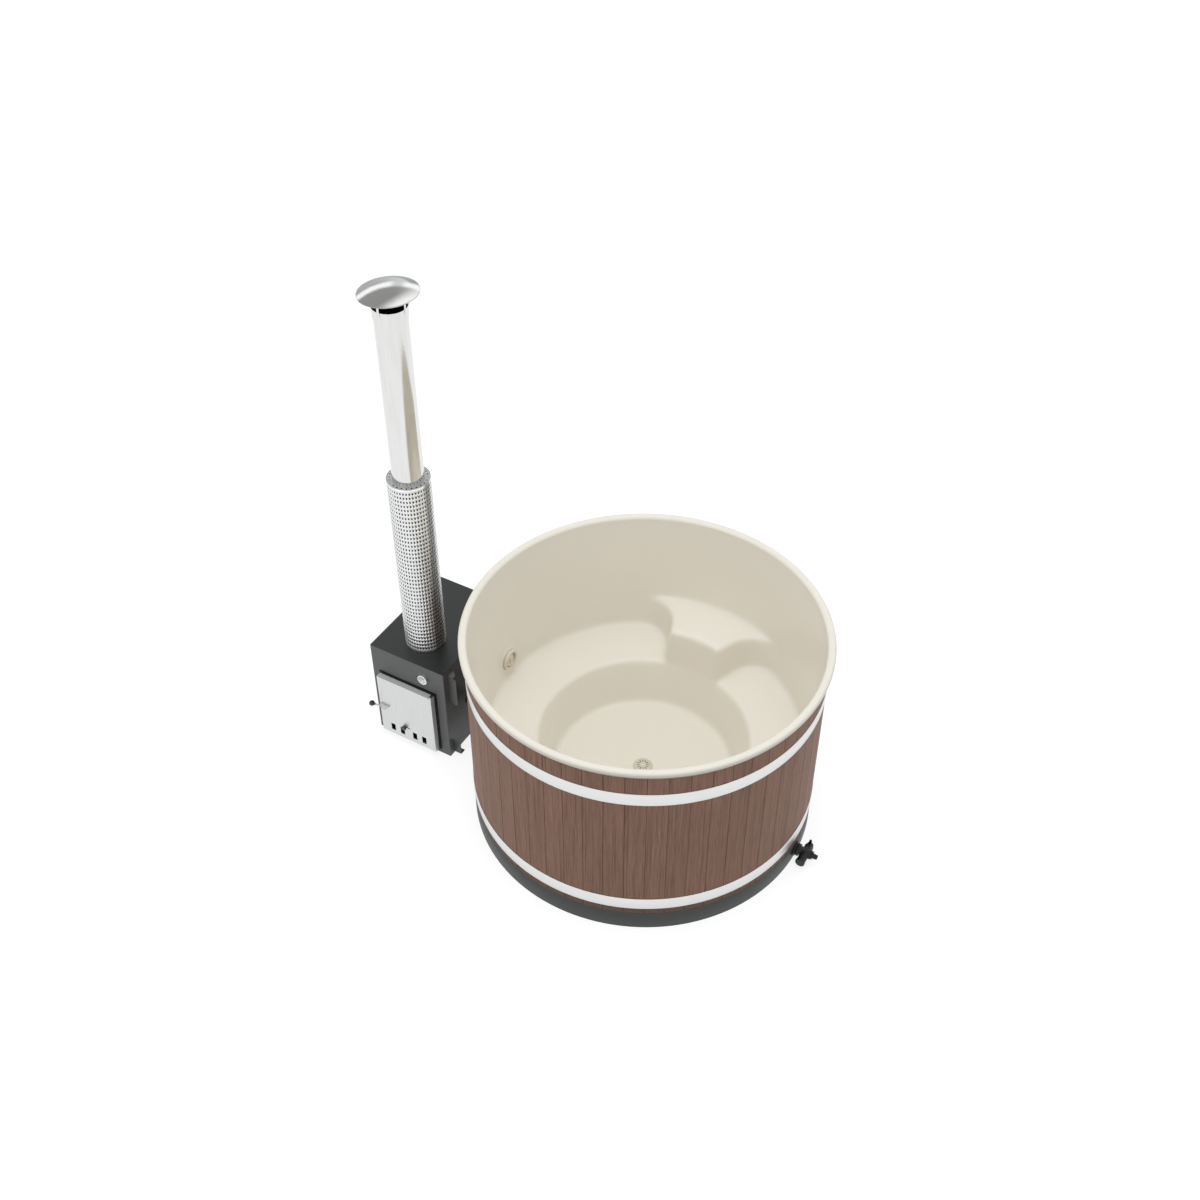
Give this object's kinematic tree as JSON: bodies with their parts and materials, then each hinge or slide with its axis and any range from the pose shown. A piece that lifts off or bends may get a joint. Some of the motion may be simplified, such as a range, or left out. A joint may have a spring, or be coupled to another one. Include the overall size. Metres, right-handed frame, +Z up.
{
  "type": "hot tub",
  "caption": "Round wood-fired hot tub: a moulded basin with seat and entry step in a hooped stave wall, a stove with a hinged door and guarded chimney beside it, and a drain valve.",
  "frame": {"origin": "on the ground at the tub's vertical axis", "axes": "+Z up; the stove stands towards -X with its door facing -Y; the drain valve points towards +X; the entry step is at +Y"},
  "size_m": [2.1973, 1.6153, 2.445],
  "materials": {
    "moulding": "smooth moulded acrylic",
    "cover_plastic": "moulded plastic",
    "ring_paint": "dark grey powder coat",
    "casing_paint": "grey stove paint",
    "lid_paint": "dark stove paint",
    "stave_wood": "brown stained, fine grain",
    "timber": "sawn",
    "board": "plywood",
    "foam": "foam board",
    "stainless": "bright stainless",
    "door_steel": "satin stainless",
    "black_plastic": "moulded",
    "grey_plastic": "pipe plastic",
    "hose_rubber": "smooth",
    "jacket_aluminium": "welded sheet",
    "grate_iron": "as cast",
    "black_steel": "heat-proof black",
    "refractory": "vermiculite board",
    "gasket_rope": "glass rope",
    "dial_white": "white enamel",
    "needle_black": "black",
    "dial_glass": "clear",
    "knob_black": "phenolic"
  },
  "bodies": {
    "tub_and_stove": {"liner": "moulding", "base_ring": "ring_paint", "floor_joists": "timber", "floor_deck": "board", "floor_insulation": "foam", "seat_supports": "board", "staves": "stave_wood", "upper_hoop": "stainless", "lower_hoop": "stainless", "hoop_lugs": "stainless", "hoop_bolts": "stainless", "hoop_nuts": "stainless", "drain_cover": "cover_plastic", "drain_fitting": "stainless", "fitting_nuts": "black_plastic", "drain_elbow": "grey_plastic", "drain_pipe": "grey_plastic", "valve_flange": "black_plastic", "valve_body": "black_plastic", "valve_end_cap": "black_plastic", "hose_tail": "black_plastic", "return_cover": "cover_plastic", "intake_cover": "cover_plastic", "wall_fittings": "stainless", "return_hose": "hose_rubber", "feed_hose": "hose_rubber", "hose_clamps": "stainless", "hose_grommets": "hose_rubber", "heater_casing": "casing_paint", "casing_lid": "lid_paint", "water_jacket": "jacket_aluminium", "fire_grate": "grate_iron", "door_frame": "black_steel", "door_throat": "black_steel", "hinge_pins": "stainless", "thermometer_case": "stainless", "thermometer_dial": "dial_white", "thermometer_glass": "dial_glass", "side_brackets": "casing_paint", "heater_feet": "casing_paint", "flue_pipe": "stainless", "chimney_guard": "stainless", "guard_top_plate": "stainless", "cap_collar": "stainless", "cap_legs": "stainless", "cap_dome": "stainless"},
    "door": {"door_pan": "door_steel", "door_insulation": "refractory", "door_backing": "black_steel", "door_gasket": "gasket_rope", "slider_guides": "black_steel"},
    "latch": {"latch_lever": "stainless", "latch_knob": "knob_black", "latch_hook": "black_steel"},
    "air": {"air_slider": "black_steel", "air_knob": "knob_black"},
    "valve": {"valve_ball": "stainless", "valve_handle": "black_plastic", "handle_screw": "stainless"},
    "needle": {"thermometer_needle": "needle_black"}
  },
  "joints": [
    {"name": "door_hinge", "type": "hinge", "parent": "tub_and_stove", "child": "door", "pos_m": [-0.956, -0.303, 0.2155], "axis": [0, 0, 1], "range_deg": [0, 110]},
    {"name": "latch_turn", "type": "hinge", "parent": "door", "child": "latch", "pos_m": [-1.236, -0.3, 0.207], "axis": [0, 1, 0], "range_deg": [-90, 0]},
    {"name": "air_slide", "type": "slide", "parent": "door", "child": "air", "axis": [1, 0, 0], "range_m": [0, 0.027]},
    {"name": "valve_turn", "type": "hinge", "parent": "tub_and_stove", "child": "valve", "pos_m": [0.832, 0, 0.05], "axis": [0, 1, 0], "range_deg": [0, 90]},
    {"name": "needle_turn", "type": "hinge", "parent": "tub_and_stove", "child": "needle", "pos_m": [-1.006, -0.288, 0.472], "axis": [0, 1, 0], "range_deg": [-70, 170]}
  ]
}
